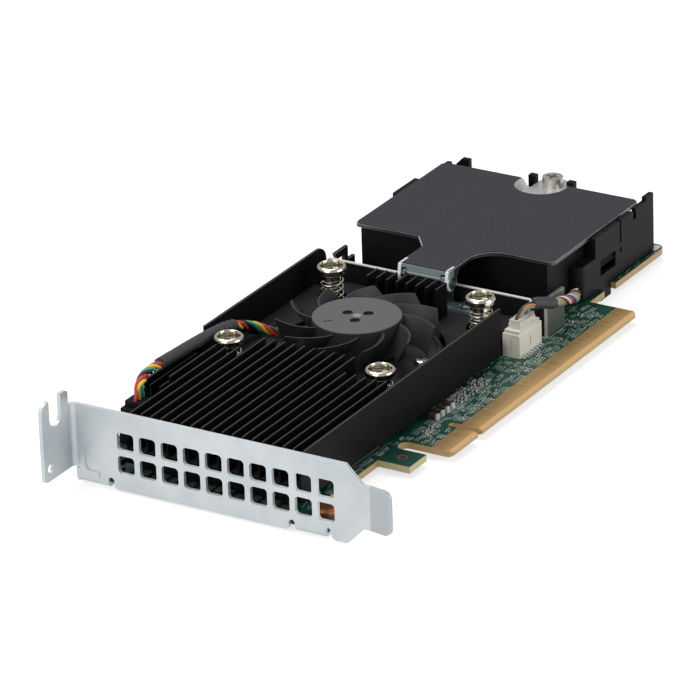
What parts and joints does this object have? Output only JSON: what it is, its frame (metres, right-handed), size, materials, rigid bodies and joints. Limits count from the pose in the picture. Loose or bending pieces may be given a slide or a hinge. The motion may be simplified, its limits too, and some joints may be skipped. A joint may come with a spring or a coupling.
{
  "type": "raid controller card",
  "caption": "Low-profile drive controller card with a finned heat sink, a sunken fan, a slot bracket and a battery module under a hinged steel cover.",
  "frame": {"origin": "on the bracket's outer face, level with the tips of the edge contacts in Y and with the board's component face in Z", "axes": "+X from the bracket to the rear of the card, +Y from the edge contacts to the top edge, +Z out of the component face"},
  "size_m": [0.178, 0.0805, 0.0225],
  "materials": {
    "black_anodised": "black anodised",
    "black_plastic": "fine moulded",
    "black_steel": "black paint with bare edges",
    "board_laminate": "satin solder mask, bare tan edges",
    "brass": "turned",
    "bronze": "sintered bronze",
    "ceramic": "fired ceramic with tinned ends",
    "chip_black": "moulded",
    "copper_wire": "enamelled copper",
    "core_steel": "stacked laminations",
    "cover_film": "dark satin film",
    "cover_steel": "bare sheet",
    "fan_plastic": "fine matt",
    "ferrite": "pressed powder",
    "gold_contact": "gold-plated",
    "lead_insulation": "sleeved wires",
    "magnet": "bonded ferrite",
    "nickel_steel": "bright nickel",
    "pack_wrap": "shrink wrap",
    "spring_steel": "bright drawn wire",
    "thermal_pad": "soft",
    "white_nylon": "off-white nylon",
    "zinc_steel": "satin zinc plate"
  },
  "bodies": {
    "card": {"battery_header": "white_nylon", "battery_lead": "lead_insulation", "battery_pack": "pack_wrap", "battery_plug": "white_nylon", "battery_tray": "black_plastic", "bracket_screw_1": "nickel_steel", "bracket_screw_2": "nickel_steel", "ceramic_capacitors": "ceramic", "circuit_board": "board_laminate", "controller_chip": "chip_black", "cover_insert": "brass", "drive_connector_1": "black_plastic", "drive_connector_2": "black_plastic", "driver_board": "board_laminate", "edge_contacts": "gold_contact", "fan_base": "fan_plastic", "fan_bearing": "bronze", "fan_header": "black_plastic", "fan_lead": "lead_insulation", "fan_plug": "black_plastic", "fan_screw_1": "nickel_steel", "fan_screw_2": "nickel_steel", "fan_screw_3": "nickel_steel", "frame_screw_1": "nickel_steel", "frame_screw_2": "nickel_steel", "heat_sink": "black_anodised", "hinge_bracket": "zinc_steel", "hinge_pin": "nickel_steel", "hinge_screw_1": "nickel_steel", "hinge_screw_2": "nickel_steel", "io_bracket": "zinc_steel", "memory_chip_1": "chip_black", "memory_chip_2": "chip_black", "memory_chip_3": "chip_black", "memory_chip_4": "chip_black", "power_inductor_1": "ferrite", "power_inductor_2": "ferrite", "press_nut_1": "nickel_steel", "press_nut_2": "nickel_steel", "press_nut_3": "nickel_steel", "press_nut_4": "nickel_steel", "screw_spring_1": "spring_steel", "screw_spring_2": "spring_steel", "screw_spring_3": "spring_steel", "screw_spring_4": "spring_steel", "spring_screw_1": "nickel_steel", "spring_screw_2": "nickel_steel", "spring_screw_3": "nickel_steel", "spring_screw_4": "nickel_steel", "stator_coils": "copper_wire", "stator_core": "core_steel", "support_frame": "black_steel", "thermal_pad": "thermal_pad"},
    "fan_rotor": {"impeller": "fan_plastic", "rotor_cup": "core_steel", "rotor_magnet": "magnet", "fan_shaft": "nickel_steel"},
    "battery_cover": {"cover_plate": "cover_steel", "cover_film": "cover_film", "cover_screw": "nickel_steel"}
  },
  "joints": [
    {"name": "fan_spin", "type": "hinge", "parent": "card", "child": "fan_rotor", "pos_m": [0.07345, 0.04043, 0.009], "axis": [0, 0, 1], "continuous": true},
    {"name": "cover_hinge", "type": "hinge", "parent": "card", "child": "battery_cover", "pos_m": [0.103, 0.03968, 0.0109], "axis": [0, -1, 0], "range_deg": [0, 95]}
  ]
}
